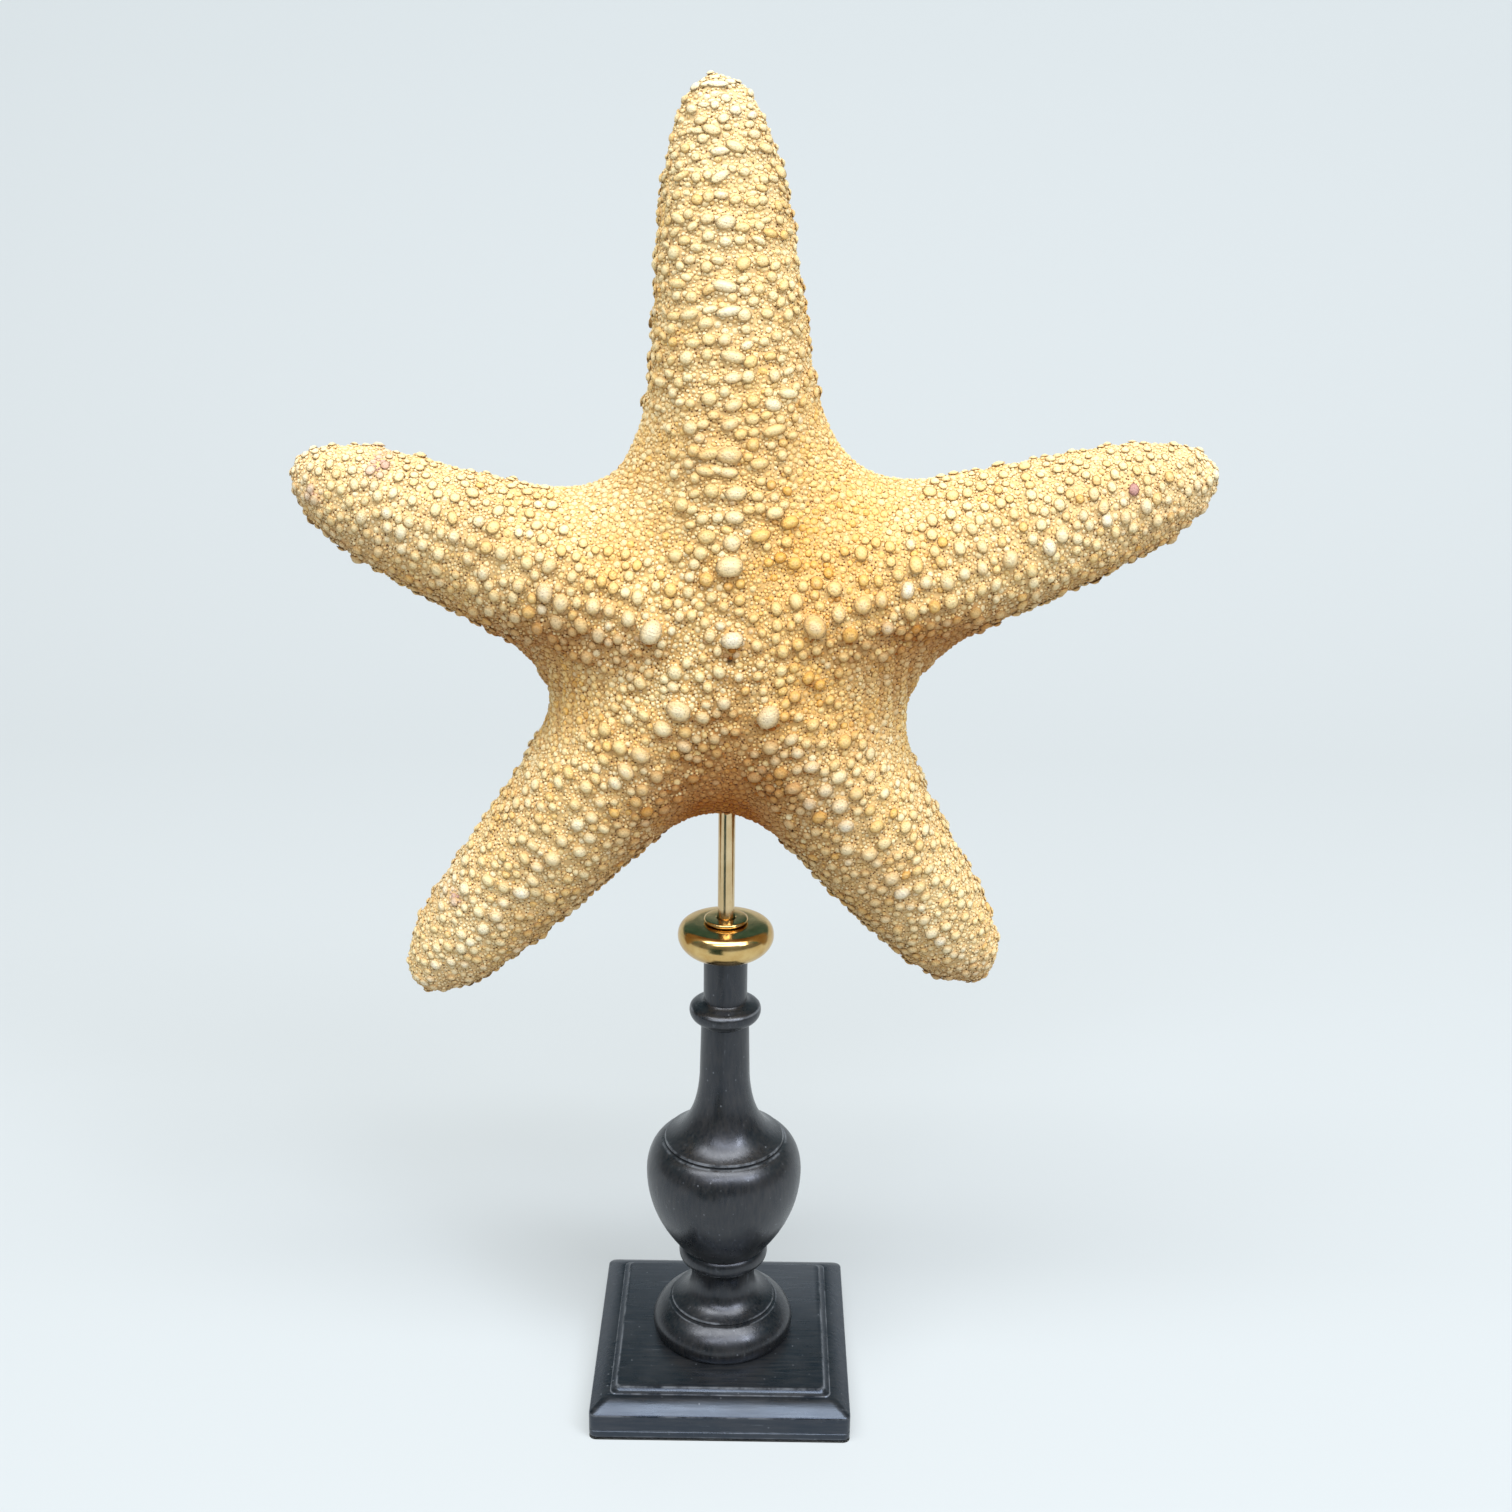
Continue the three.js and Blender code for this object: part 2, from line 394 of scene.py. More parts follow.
class Pavement:
    """The tubercles set so far on the skin, in millimetres."""

    def __init__(self, skin, seed):
        self.skin = skin
        self.dice = random.Random(seed)
        self.chance = np.random.default_rng(seed)
        self.items = []
        self.read_skin()

    def read_skin(self):
        mesh = self.skin.data
        bpy.context.view_layer.update()
        graph = bpy.context.evaluated_depsgraph_get()
        self.tree = BVHTree.FromObject(self.skin, graph)
        mesh.calc_loop_triangles()
        corners = np.empty(len(mesh.loop_triangles) * 3, int)
        mesh.loop_triangles.foreach_get("vertices", corners)
        self.corners = corners.reshape(-1, 3)
        self.places = read_vectors(mesh.vertices, "co") / MM
        self.normals = read_vectors(mesh.vertex_normals, "vector")
        a, b, c = (self.places[self.corners[:, i]] for i in range(3))
        areas = np.linalg.norm(np.cross(b - a, c - a), axis=1)
        self.weights = np.cumsum(areas) / areas.sum()

    def swell(self):
        """Raises the skin in a soft mound under each tubercle set so far.

        Granules climb the mound later, so only the crown of the tubercle stays bare.
        """
        sizes = settings()
        near = kdtree.KDTree(len(self.places))
        for index, place in enumerate(self.places):
            near.insert(place, index)
        near.balance()
        raised = np.zeros(len(self.places))
        for item in self.items:
            height = sizes.mound_height * item["radius"]
            reach = sizes.mound_reach * item["radius"]
            for _, index, distance in near.find_range(item["at"], reach):
                raised[index] += (height * (1 - (distance / reach) ** 2) ** 2) ** 3
            item["at"] = item["at"] + item["up"] * height * 0.94
            item["radius"] *= sizes.crown
        self.places += self.normals * np.cbrt(raised)[:, None]
        move_corners(self.skin.data, self.places * MM)
        self.read_skin()

    def struck(self, start, way):
        """Where a line from a point meets the skin, and the normal there."""
        hit, normal, _, _ = self.tree.ray_cast(start * MM, way)
        return (hit / MM, normal) if hit else (None, None)

    def scattered(self, count):
        """Random points of the skin, evenly by area, with their normals."""
        picks = np.searchsorted(self.weights, self.chance.random(count))
        shares = self.chance.dirichlet((1, 1, 1), count)
        corners = self.corners[picks]
        points = np.einsum("ij,ijk->ik", shares, self.places[corners])
        normals = np.einsum("ij,ijk->ik", shares, self.normals[corners])
        normals /= np.linalg.norm(normals, axis=1)[:, None]
        return points, normals

    def index_tubercles(self):
        self.near = kdtree.KDTree(max(len(self.items), 1))
        for index, item in enumerate(self.items):
            self.near.insert(item["at"], index)
        self.near.balance()
        self.largest = max((item["radius"] for item in self.items), default=0)

    def clear(self, point, radius, apart):
        """Whether a tubercle here keeps clear of the ones set in earlier passes."""
        if not self.items:
            return True
        reach = (radius + self.largest) * apart
        return all(
            distance >= apart * (radius + self.items[index]["radius"])
            for _, index, distance in self.near.find_range(point, reach)
        )

    def put(self, kind, point, normal, radius, **looks):
        self.items.append({"kind": kind, "at": point, "up": normal, "radius": radius, **looks})

    def throw(self, kind, count, radii, apart, allowed, looks):
        """Throws tubercles at random and keeps each that lands clear of the others."""
        self.index_tubercles()
        points, normals = self.scattered(count)
        sizes = self.chance.uniform(*radii, count)
        keep = clear_of_rod(points) & allowed(points, normals, self.chance)
        keep &= vent_gap(points) > 1.2 * sizes + 0.5
        cell = 2 * radii[1] * max(apart, 1)
        fresh = {}
        for index in np.flatnonzero(keep):
            point, radius = Vector(points[index]), float(sizes[index])
            home = tuple(int(math.floor(value / cell)) for value in point)
            crowd = (
                other
                for i in (-1, 0, 1)
                for j in (-1, 0, 1)
                for k in (-1, 0, 1)
                for other in fresh.get((home[0] + i, home[1] + j, home[2] + k), ())
            )
            if any((point - other[0]).length < apart * (radius + other[1]) for other in crowd):
                continue
            if not self.clear(point, radius, apart):
                continue
            fresh.setdefault(home, []).append((point, radius))
            normal = Vector(normals[index])
            self.put(kind, point, normal, radius, **looks(point, normal, radius))


def clear_of_rod(points):
    """Keeps tubercles off the rod where it goes into the starfish."""
    beside = np.hypot(points[:, 0], points[:, 1])
    return ~((beside < 4.2) & (points[:, 2] < CENTRE.z - 30))


# Where a pass of tubercles may land, for points, normals and a random generator


def on_front(points, normals, chance):
    return normals[:, 1] < 0.3


def on_back(points, normals, chance):
    return normals[:, 1] >= 0.3


def in_webs(points, normals, chance):
    """The smooth slopes between two arms, thinning out towards the ridges."""
    _, along, aside = nearest_arm(points)
    share = np.clip((np.abs(aside) - 9) / 9, 0, 1) * np.clip((74 - along) / 16, 0, 1)
    return on_front(points, normals, chance) & (chance.random(len(points)) < share)


def off_webs(points, normals, chance):
    _, along, aside = nearest_arm(points)
    return on_front(points, normals, chance) & ((np.abs(aside) < 16) | (along > 62))


def patchiness(point, scale, seed=0.0):
    """A smooth random field from 0 to 1 over the starfish."""
    return 0.5 + 0.5 * noise.noise(point / scale + Vector((seed, seed, seed)))


def nearness(point, x, z, radius):
    """How near a point is to the middle of a patch, from 0 to 1."""
    return math.exp(-((math.hypot(point.x - x, point.z - z) / radius) ** 2))


def weathering(point, normal, dice):
    """How ochre, worn, stained and darkened by painted shade a tubercle is, by where it stands."""
    index, along, aside = nearest_arm(np.array([point]))
    along, aside = float(along[0]), float(aside[0])
    share = along / ARMS[int(index[0])][1]
    ridge = math.exp(-((aside / 8) ** 2))
    # the ochre comes in patches and fades towards the tips, and the upward faces are painted paler
    # as painted light from above
    ochre = 0.44 - 0.3 * share + 0.5 * (patchiness(point, 14) - 0.5) + dice.gauss(0, 0.17)
    ochre -= 0.25 * max(normal.z, 0)
    for x, z, radius, change in TONES:
        ochre += change * nearness(point, x, z, radius)
    # the ridges, the tips, some patches and a few strays are worn white
    worn = 0.25 * ridge + 3 * max(0, share - 0.85)
    worn += 0.9 * (patchiness(point, 9, 31.7) - 0.62)
    if dice.random() < 0.04 + 0.08 * ridge:
        worn += dice.uniform(0.3, 0.8)
    stain = 0.0
    if normal.y < 0.3:
        for patch in WORN_PATCHES:
            worn += 1.1 * nearness(point, *patch)
        for patch in STAINS:
            stain += nearness(point, *patch) * dice.uniform(0.3, 1)
    # painted shade: darker on the undersides near the centre and in the furrow troughs, in soft
    # patches
    grime = float(painted_shade_share(np.array([point]), np.array([normal]))[0])
    grime += 0.4 * (patchiness(point, 20, 7.3) - 0.5)
    return {
        "ochre": held(ochre),
        "worn": held(worn),
        "grime": held(grime),
        "stain": min(stain, 1),
    }


def looks(dice, height, oval):
    """Chooses the height, outline and weathering of the tubercles of one pass."""

    def look(point, normal, radius):
        weather = weathering(point, normal, dice)
        # the bigger a tubercle, the more its top is rubbed
        weather["worn"] *= min(1, radius / 1.8)
        index, along, _ = nearest_arm(np.array([point]))
        # the ovals lie across the longest arm, and the rest are nearly round
        on_top_arm = 1 if index[0] == 1 and along[0] > 30 else 0.25
        long = 1 + oval * on_top_arm * dice.random()
        return {
            # the small ones get painted shade at the foot, and the large ones blend in
            "crevice": held(1.15 - radius / 1.3, 0.1, 0.8) * (1 - along[0] / 320),
            "height": height * dice.uniform(0.8, 1.2),
            "long": long,
            "wide": 1 / math.sqrt(long),
            **weather,
        }

    return look


class STARFISH_OT_tubercles(bpy.types.Operator):
    """Pave the skin with domed tubercles, granules, and the plates and spines behind"""

    bl_idname = "starfish.tubercles"
    bl_label = "Tubercles"

    def execute(self, context):
        pavement = Pavement(bpy.data.objects["skin"], settings().seed)
        dice = pavement.dice
        work = 1

        def throw_all(passes):
            for kind, count, radii, apart, allowed, height, oval in passes:
                look = looks(dice, height, oval)
                pavement.throw(kind, int(count * work), radii, apart, allowed, look)

        set_rows(pavement, looks(dice, 0.56, 0.9))
        throw_all(
            (
                ("large", 900, (1.6, 2.0), 1.2, off_webs, 0.58, 0.6),
                ("large", 6000, (1.15, 1.5), 1.0, off_webs, 0.6, 0.5),
            )
        )
        pavement.swell()
        set_spines(pavement, looks(dice, 2.6, 0))
        throw_all(
            (
                ("medium", 26000, (0.8, 1.05), 0.94, in_webs, 0.62, 0.3),
                ("medium", 9000, (0.72, 0.98), 1.05, on_front, 0.72, 0.4),
                ("granule", 110000, (0.46, 0.66), 0.88, on_front, 0.85, 0.3),
                ("granule", 90000, (0.34, 0.46), 0.88, on_front, 0.85, 0.2),
                ("plate", 26000, (0.95, 1.35), 0.93, on_back, 0.5, 0.3),
                ("plate", 30000, (0.55, 0.8), 0.9, on_back, 0.6, 0.3),
            )
        )
        material = tubercle_material()
        pieces = {
            name: [item for item in pavement.items if item["kind"] == kind]
            for name, kind in (
                ("tubercles_large", "large"),
                ("tubercles_medium", "medium"),
                ("groove_spines", "spine"),
                ("oral_plates", "plate"),
            )
        }
        granules = [item for item in pavement.items if item["kind"] == "granule"]
        index, _, _ = nearest_arm(np.array([item["at"] for item in granules]))
        for item, arm in zip(granules, index):
            pieces.setdefault(f"granules_arm_{arm + 1}", []).append(item)
        for name, items in pieces.items():
            piece = set_out(name, items, material)
            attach(piece, "root")
        return {"FINISHED"}


def set_rows(pavement, look):
    """Sets the large tubercles: one row down each arm's ridge and rows beside it."""
    dice = pavement.dice

    def shoot(arm, distance, turn):
        out = Vector((0, -math.cos(turn), 0)) + arm.aside * math.sin(turn)
        return pavement.struck(arm.point(distance) + out * 90, -out)

    for arm in arms():
        # the largest tubercle of each arm stands where the arm leaves the centre
        distance = 21.5
        first = True
        while distance < arm.length - 1.5:
            share = distance / arm.length
            taper = 1 - 0.42 * share**2
            for row in range(-6, 7):
                turn = math.radians(row * 14 + dice.uniform(-3, 3))
                along = distance + dice.uniform(-1.4, 1.4) + (row % 2) * 0.8
                if first and row or abs(row) > 1 and share < 0.3 + 0.03 * abs(row):
                    continue
                if dice.random() < (0.03 if row == 0 else 0.25):
                    continue
                hit, normal = shoot(arm, along, turn)
                if hit is None:
                    continue
                middle = 2.25 if row == 0 else 2.0 - 0.1 * abs(row)
                radius = 2.9 if first else taper * dice.uniform(0.75, 1.15) * middle
                if all(
                    (hit - item["at"]).length >= 0.95 * (radius + item["radius"])
                    for item in pavement.items
                ):
                    detail = look(hit, normal, radius)
                    if row == 0:
                        detail["worn"] = min(1, detail["worn"] + 0.3)
                    pavement.put("large", hit, normal, radius, **detail)
            distance += (7.5 if first else 6.2 - 0.8 * share) * dice.uniform(0.94, 1.06)
            first = False
    # the largest one at the middle stands just above the pit of the vent, with three beside it
    for x, z, radius in ((-0.5, 3, 2.4), (6, 1.5, 1.5), (-6.5, 4, 1.6), (-4, -6, 1.7)):
        at, normal = pavement.struck(CENTRE + Vector((x, -90, z)), Vector((0, 1, 0)))
        pavement.put("large", at, normal, radius, **look(at, normal, radius))


def set_spines(pavement, look):
    """Sets two rows of blunt spines along each side of every groove behind."""
    dice = pavement.dice
    half = settings().groove_width / MM / 2
    for arm in arms():
        for side in (-1, 1):
            for row, gap in enumerate((1.3, 3.3)):
                distance = 9.0 + row
                while distance < arm.length - 5:
                    narrow = min(1, (arm.length - distance) / 40)
                    off = side * (half * (0.45 + 0.55 * narrow) + gap)
                    start = arm.point(distance) + arm.aside * off + Vector((0, 60, 0))
                    at, normal = pavement.struck(start, Vector((0, -1, 0)))
                    if at and normal.y > 0.3:
                        radius = 0.78 * (0.6 + 0.4 * narrow) * dice.uniform(0.9, 1.1)
                        lean = (normal - 0.35 * side * arm.aside).normalized()
                        detail = look(at, lean, radius)
                        pavement.put("spine", at, lean, radius, **detail)
                    distance += 2.1 * dice.uniform(0.9, 1.1)


# What the material reads from each tubercle, from 0 to 1
TONES_OF_TUBERCLES = ("ochre", "worn", "grime", "stain", "crevice")

# How many templates each kind has, and their segments, rings and flare at the foot
TEMPLATES = 3
DOMES = {
    "large": (12, 8, 0.4),
    "medium": (10, 6, 0.35),
    "granule": (6, 4, 0.2),
    "plate": (6, 4, 0.05),
    "spine": (8, 6, 0.0),
}


def dome(kind, variant):
    """A unit tubercle: a lumpy half sphere with a flared foot and a plain base."""
    dice = random.Random(f"{kind}{variant}")
    segments, rings, flare = DOMES[kind]
    bm = bmesh.new()
    bmesh.ops.create_uvsphere(bm, u_segments=segments, v_segments=rings, radius=1)
    cut = bmesh.ops.bisect_plane(
        bm,
        geom=bm.verts[:] + bm.edges[:] + bm.faces[:],
        plane_co=(0, 0, 0.02),
        plane_no=(0, 0, 1),
        clear_inner=True,
    )
    rim = [item for item in cut["geom_cut"] if isinstance(item, bmesh.types.BMEdge)]
    base = bmesh.ops.contextual_create(bm, geom=rim)["faces"][0]
    # each dome's own square of the bake: its top as a disc, its base in a corner
    uv = bm.loops.layers.uv.new("OFBake")
    for face in bm.faces:
        for loop in face.loops:
            co = loop.vert.co
            around = Vector((co.x, co.y))
            if face is base:
                place = Vector((0.075, 0.075)) + around * 0.055
            else:
                polar = math.acos(max(-1, min(1, co.z))) / (math.pi / 2)
                place = Vector((0.5, 0.5))
                if around.length > 1e-4:
                    place += around.normalized() * (0.44 * min(polar, 1))
            loop[uv].uv = place
    rise = bm.verts.layers.float.new("rise")
    for vert in bm.verts:
        vert[rise] = max(0, vert.co.z)
        lump = 1 + flare * (1 - vert.co.z) ** 3 + 0.07 * dice.uniform(-1, 1)
        if vert.co.z < 0.95:
            vert.co.x *= lump
            vert.co.y *= lump
        vert.co.z = vert.co.z * (1 + 0.07 * dice.uniform(-1, 1)) - 0.22
    bmesh.ops.recalc_face_normals(bm, faces=bm.faces)
    return object_from(bm, f"dome_{kind}_{variant}", None)


def set_out(name, items, material):
    """Instances domes on the places of like items and realizes them as one joined mesh."""
    collection = bpy.data.collections.new(name + "_shapes")
    shapes = [dome(items[0]["kind"], variant) for variant in range(TEMPLATES)]
    for shape in shapes:
        bpy.context.scene.collection.objects.unlink(shape)
        collection.objects.link(shape)
    dice = random.Random(name)
    side = math.ceil(math.sqrt(len(items)))
    points = bpy.data.meshes.new(name + "_points")
    points.vertices.add(len(items))
    points.vertices.foreach_set("co", [value * MM for item in items for value in item["at"]])
    columns = {
        "size": ("FLOAT_VECTOR", "vector", []),
        "turn": ("QUATERNION", "value", []),
        "cell": ("FLOAT_VECTOR", "vector", []),
        "shape": ("INT", "value", []),
        **{tone: ("FLOAT", "value", []) for tone in TONES_OF_TUBERCLES},
    }
    spots = np.array([item["at"] for item in items])
    index, _, _ = nearest_arm(spots)
    axes = [arm.along for arm in arms()]
    for number, item in enumerate(items):
        up = item["up"].normalized()
        tilt = Vector([dice.gauss(0, 0.06) for _ in range(3)])
        up = (up + tilt).normalized()
        # the long way of an oval tubercle lies across its arm
        across = axes[index[number]].cross(up)
        across = across.normalized() if across.length > 0.1 else up.orthogonal()
        across = Quaternion(up, dice.gauss(0, 0.25)) @ across
        forward = up.cross(across)
        turn = Matrix((across, forward, up)).transposed().to_quaternion()
        radius = item["radius"] * MM
        shape = (item["long"], item["wide"], item["height"])
        columns["size"][2].extend(radius * share for share in shape)
        columns["turn"][2].extend(turn)
        corner = (number % side / side, number // side / side, 1 / side)
        columns["cell"][2].extend(corner)
        columns["shape"][2].append(dice.randrange(TEMPLATES))
        for tone in TONES_OF_TUBERCLES:
            columns[tone][2].append(item[tone])
    for key, (data_type, field, values) in columns.items():
        points.attributes.new(key, data_type, "POINT").data.foreach_set(field, values)
    host = new_object(name + "_points", points)
    spread = host.modifiers.new("Set out", "NODES")
    spread.node_group = setting_out(collection)
    mesh = evaluated_copy(host, name)
    bpy.data.objects.remove(host)
    for shape in shapes:
        bpy.data.objects.remove(shape)
    bpy.data.collections.remove(collection)
    for key in ("size", "turn", "cell", "shape"):
        if key in mesh.attributes:
            mesh.attributes.remove(mesh.attributes[key])
    return new_object(name, mesh, material)


def setting_out(collection):
    """Geometry nodes that set one of the collection's domes on each point."""
    tree = bpy.data.node_groups.new("Setting out", "GeometryNodeTree")
    for way in ("INPUT", "OUTPUT"):
        tree.interface.new_socket("Geometry", in_out=way, socket_type="NodeSocketGeometry")
    node = partial(add, tree)
    shape, turn, size, cell, drawn = (
        node("GeometryNodeInputNamedAttribute", {"Name": name}, data_type=data_type)
        for name, data_type in (
            ("shape", "INT"),
            ("turn", "QUATERNION"),
            ("size", "FLOAT_VECTOR"),
            ("cell", "FLOAT_VECTOR"),
            ("OFBake", "FLOAT_VECTOR"),
        )
    )
    domes = node(
        "GeometryNodeCollectionInfo",
        {"Collection": collection, "Separate Children": True, "Reset Children": True},
    )
    placed = node(
        "GeometryNodeInstanceOnPoints",
        {
            "Points": node("NodeGroupInput"),
            "Instance": domes,
            "Pick Instance": True,
            "Instance Index": shape,
            "Rotation": turn,
            "Scale": size,
        },
    )
    real = node("GeometryNodeRealizeInstances", [placed])
    # each dome's bake is shrunk into its own cell of the whole
    parts = node("ShaderNodeSeparateXYZ", [cell])
    shrunk = node(
        "ShaderNodeVectorMath", {0: drawn, "Scale": parts.outputs["Z"]}, operation="SCALE"
    )
    corner = node("ShaderNodeCombineXYZ", [parts.outputs["X"], parts.outputs["Y"]])
    moved = node("ShaderNodeVectorMath", [shrunk, corner], operation="ADD")
    mapped = node(
        "GeometryNodeStoreNamedAttribute",
        {"Geometry": real, "Name": "OFBake", "Value": moved},
        data_type="FLOAT2",
        domain="CORNER",
    )
    node("NodeGroupOutput", {"Geometry": mapped})
    return tree


# ---- Stand --------------------------------------------------------------------


def curve(start, first, second, end, steps=12):
    """Points of one bezier curve of a turned profile, as (radius, height)."""
    points = geometry.interpolate_bezier(
        *(Vector((r, z, 0)) for r, z in (start, first, second, end)), steps + 1
    )
    return [(point.x, point.y) for point in points]


def arrises(profile, margin=0.35):
    """A profile's points as (across, height, wear), with wear 1 on outward arrises.

    Two more points close in each arris, so the wear stays beside it.
    """
    kept = [profile[0]]
    for point in profile[1:]:
        if math.dist(point, kept[-1]) > 0.005:
            kept.append(point)
    points = [(*kept[0], 0.0)]
    for before, here, after in zip(kept, kept[1:], kept[2:]):
        arriving = Vector(here) - Vector(before)
        leaving = Vector(after) - Vector(here)
        turn = arriving.angle_signed(leaving)
        if turn > math.radians(-14):
            points.append((*here, 0.0))
            continue
        if arriving.length > 2 * margin:
            points.append((*(Vector(here) - arriving.normalized() * margin), 0.0))
        points.append((*here, 1.0))
        if leaving.length > 2 * margin:
            points.append((*(Vector(here) + leaving.normalized() * margin), 0.0))
    return points + [(*kept[-1], 0.0)]


def spun(name, profile, material, segments=128, sharp=30):
    """Turns a closed profile of (radius, height) points, in mm, about the Z axis."""
    bm = bmesh.new()
    wear = bm.verts.layers.float.new("wear")
    kept = arrises(profile)
    verts = []
    for r, z, worn in kept:
        verts.append(bm.verts.new((r * MM, 0, z * MM)))
        verts[-1][wear] = worn
    edges = [bm.edges.new(pair) for pair in zip(verts, verts[1:])]
    if kept[0][0] > 0.01:
        edges.append(bm.edges.new((verts[-1], verts[0])))
    bmesh.ops.spin(
        bm,
        geom=verts + edges,
        cent=(0, 0, 0),
        axis=(0, 0, 1),
        angle=2 * math.pi,
        steps=segments,
        use_merge=True,
    )
    bmesh.ops.remove_doubles(bm, verts=bm.verts, dist=0.002 * MM)
    bmesh.ops.recalc_face_normals(bm, faces=bm.faces)
    for edge in bm.edges:
        if edge.is_manifold and edge.calc_face_angle() > math.radians(sharp):
            edge.smooth = False
    return object_from(bm, name, material)


def drawn_out(bm, edges, step):
    """Draws edges out by a step, and gives the new edges and their corners."""
    made = bmesh.ops.extrude_edge_only(bm, edges=edges)["geom"]
    corners = [item for item in made if isinstance(item, bmesh.types.BMVert)]
    bmesh.ops.translate(bm, vec=step, verts=corners)
    return [item for item in made if isinstance(item, bmesh.types.BMEdge)], corners


class STAND_OT_plinth(bpy.types.Operator):
    """Build the square plinth with its moulding"""

    bl_idname = "stand.plinth"
    bl_label = "Plinth"

    def execute(self, context):
        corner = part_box("plinth")[1]
        half, top = corner.x / MM, corner.z / MM
        bm = bmesh.new()
        bmesh.ops.create_grid(bm, x_segments=1, y_segments=1, size=half * MM)
        bmesh.ops.bevel(
            bm,
            geom=bm.verts[:],
            offset=settings().plinth_corner,
            segments=5,
            profile=0.5,
            affect="VERTICES",
            material=-1,
        )
        ring = bm.edges[:]
        bmesh.ops.reverse_faces(bm, faces=bm.faces[:])
        wear = bm.verts.layers.float.new("wear")
        profile = (
            [(half - 1.2, 0), (half - 0.35, 0.35), (half, 1.2)]
            + [(half, 3.0), (half - 0.15, 3.12), (half - 0.15, 3.25), (half, 3.37)]
            + curve((half, 8.2), (half, 8.7), (39.7, 8.9), (39.4, 9.1), 5)
            + curve((39.4, 9.1), (38.2, 10.0), (36.4, 11.4), (34.4, 11.8), 12)
            + [(34.0, 11.82), (33.85, 12.05), (32.9, 12.4), (32.4, 12.7)]
            + [(32.1, 13.3), (31.6, top)]
        )
        width, height = half, 0.0
        for new_half, z, worn in arrises([(half, 0)] + profile)[1:]:
            share = new_half / width
            ring, verts = drawn_out(bm, ring, (0, 0, (z - height) * MM))
            bmesh.ops.scale(bm, vec=(share, share, 1), verts=verts)
            for vert in verts:
                vert[wear] = worn if z > 11 else 0.6 * worn
            width, height = new_half, z
        bmesh.ops.contextual_create(bm, geom=ring)
        bmesh.ops.remove_doubles(bm, verts=bm.verts, dist=0.005 * MM)
        bmesh.ops.recalc_face_normals(bm, faces=bm.faces)
        for edge in bm.edges:
            if edge.is_manifold and edge.calc_face_angle() > math.radians(35):
                edge.smooth = False
        wood = ebonised_wood("Ebonised beech board, waxed", (0.1, 1, 1), linear("c9dcf8"))
        piece = object_from(bm, "plinth_visual", wood)
        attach(piece, "root")
        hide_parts("plinth")
        return {"FINISHED"}


class STAND_OT_column(bpy.types.Operator):
    """Turn the baluster column"""

    bl_idname = "stand.column"
    bl_label = "Column"

    def execute(self, context):
        # the foot stands on the plinth, and the tenon below it doesn't show
        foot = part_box("plinth")[1].z / MM + 0.05
        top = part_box("column")[1].z / MM
        profile = (
            [(0, foot), (21.3, foot), (21.6, foot + 0.3)]
            + curve((21.6, foot + 0.3), (23.0, 16.2), (22.8, 20.5), (17.2, 23.8), 20)
            + [(16.5, 23.95), (16.1, 24.1), (16.1, 24.3), (16.35, 24.6), (16.2, 25.0)]
            + curve((16.2, 25.0), (12.5, 26.2), (10, 28.5), (10, 33), 14)
            + curve((10, 33), (10, 36.5), (10.6, 38.8), (12.6, 39.5), 12)
            + curve((12.6, 39.5), (14.6, 40.2), (14.2, 43.6), (13, 44.5), 12)
            + curve((13, 44.5), (17.6, 50), (24.15, 59), (24.15, 71.5), 28)
            + curve((24.15, 71.5), (24.15, 77), (22, 80.8), (19.2, 82.2), 16)
            + [(18.6, 82.3), (18.3, 82.4), (18.3, 82.6), (18.55, 82.9), (18.3, 83.4)]
            + curve((18.3, 83.4), (12.6, 86), (8.4, 92), (7.7, 105), 20)
            + [(7.3, 122.6), (7.8, 123.4), (8.2, 123.5), (8.3, 123.8)]
            + curve((8.3, 123.8), (10.4, 124.1), (11.4, 126.6), (10.6, 128.3), 12)
            + curve((10.6, 128.3), (9.6, 129.6), (7.6, 129.2), (6.6, 130.4), 8)
            + [(6.6, top - 0.2), (6.4, top), (2.8, top), (2.8, 115), (0, 115)]
        )
        wood = ebonised_wood("Ebonised beech, turned and waxed", (1, 1, 0.16), linear("d5dae5"))
        piece = spun("column_visual", profile, wood)
        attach(piece, "root")
        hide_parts("column")
        return {"FINISHED"}


class STAND_OT_brass(bpy.types.Operator):
    """Turn the brass cap, washer and rod"""

    bl_idname = "stand.brass"
    bl_label = "Brass fittings"

    def execute(self, context):
        turned = polished_brass("Polished brass, turned", "brass_dull", "brass_bright")
        drawn = polished_brass("Polished brass, drawn rod", "rod_dull", "rod_bright")
        z, top = (corner.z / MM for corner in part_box("cap"))
        bore = 2.8
        cap = (
            [(bore, z), (7.0, z), (7.3, z + 0.15)]
            + curve((7.3, z + 0.15), (11.5, z + 0.3), (14.6, z + 3.7), (14.4, z + 6.7), 20)
            + curve((14.4, z + 6.7), (14.3, z + 8.7), (13.4, z + 9.9), (12, z + 10.3), 10)
            + curve((12, z + 10.3), (10.5, z + 10.6), (9.5, top), (9, top), 4)
            + [(bore, top)]
        )
        washer_low, washer_top = (corner.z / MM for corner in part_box("washer"))
        washer = (
            [(bore, washer_low), (6.1, washer_low)]
            + curve((6.1, washer_low), (6.85, washer_low), (6.85, washer_top), (5.9, washer_top), 8)
            + [(3.1, washer_top), (bore, washer_top - 0.3)]
        )
        low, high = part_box("rod")
        radius = high.x / MM
        low, high = low.z / MM, high.z / MM
        rod = [(0, low), (radius, low), (radius, high), (0, high)]
        for name, profile, brass, segments in (
            ("cap", cap, turned, 128), ("washer", washer, turned, 96), ("rod", rod, drawn, 64)
        ):
            piece = spun(name + "_visual", profile, brass, segments)
            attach(piece, "root")
            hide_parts(name)
        return {"FINISHED"}


# ---- Materials ----------------------------------------------------------------


